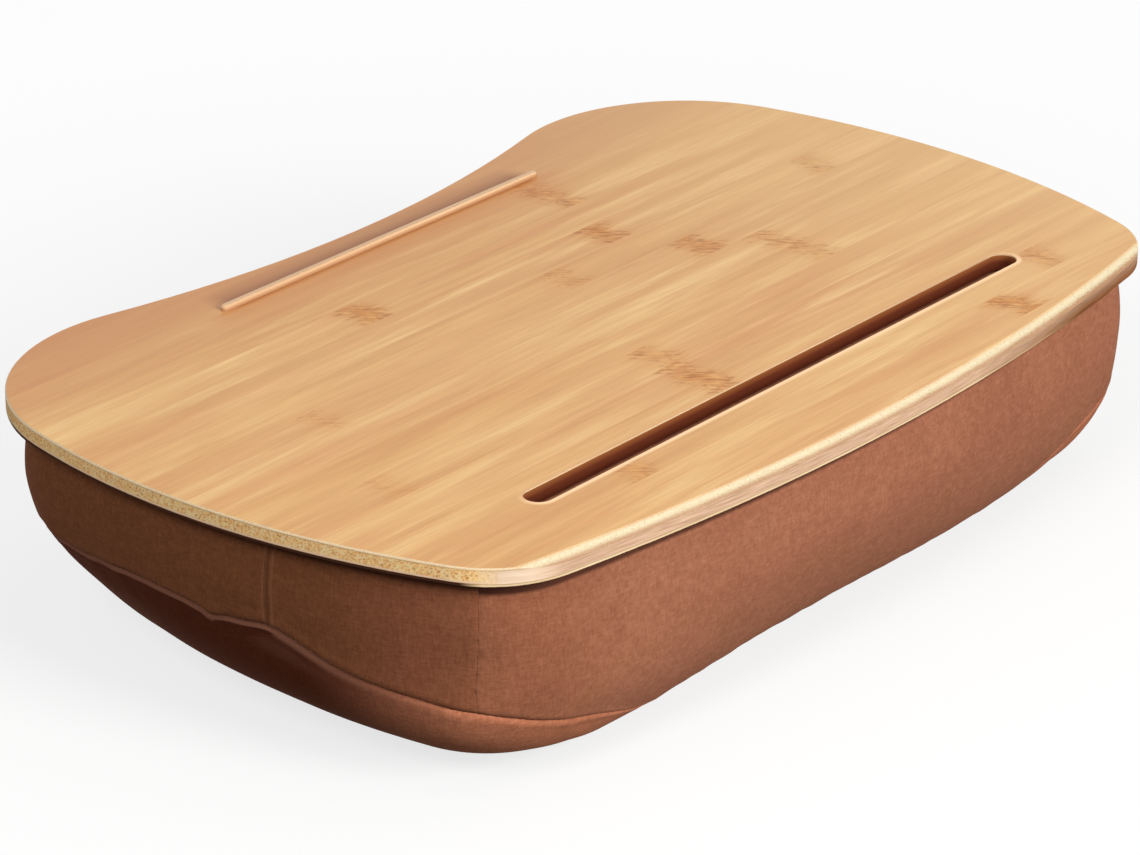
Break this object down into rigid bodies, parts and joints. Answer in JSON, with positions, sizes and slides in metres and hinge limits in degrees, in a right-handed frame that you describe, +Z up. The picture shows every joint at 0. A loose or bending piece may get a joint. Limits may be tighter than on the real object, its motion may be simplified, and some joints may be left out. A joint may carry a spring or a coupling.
{
  "type": "lap tray with cushion",
  "caption": "Bamboo ply lap tray with a hollow rear edge, a through tablet slot and a stop ledge, on a sewn brown cushion with a crowned underside.",
  "frame": {"origin": "middle of the tray's plan, on the surface that the cushion rests on", "axes": "+Z up, X along the tray's length, -Y towards the user (hollow edge), +Y towards the slot edge"},
  "size_m": [0.52, 0.3329, 0.1124],
  "materials": {
    "bamboo_face": "satin lacquer",
    "bamboo_core": "sanded edge, clear lacquer",
    "bamboo_ledge": "satin lacquer",
    "cover_fabric": "brushed microfibre",
    "fastener_tape": "woven nylon tape",
    "filling": "loose filling"
  },
  "bodies": {
    "root": {"top_veneer": "bamboo_face", "core_board": "bamboo_core", "bottom_veneer": "bamboo_face", "stop_ledge": "bamboo_ledge", "hook_strips": "fastener_tape", "loop_strips": "fastener_tape", "top_panel": "cover_fabric", "front_boxing": "cover_fabric", "right_boxing": "cover_fabric", "left_boxing": "cover_fabric", "rear_boxing": "cover_fabric", "bottom_panel": "cover_fabric", "cushion_fill": "filling"}
  },
  "joints": []
}
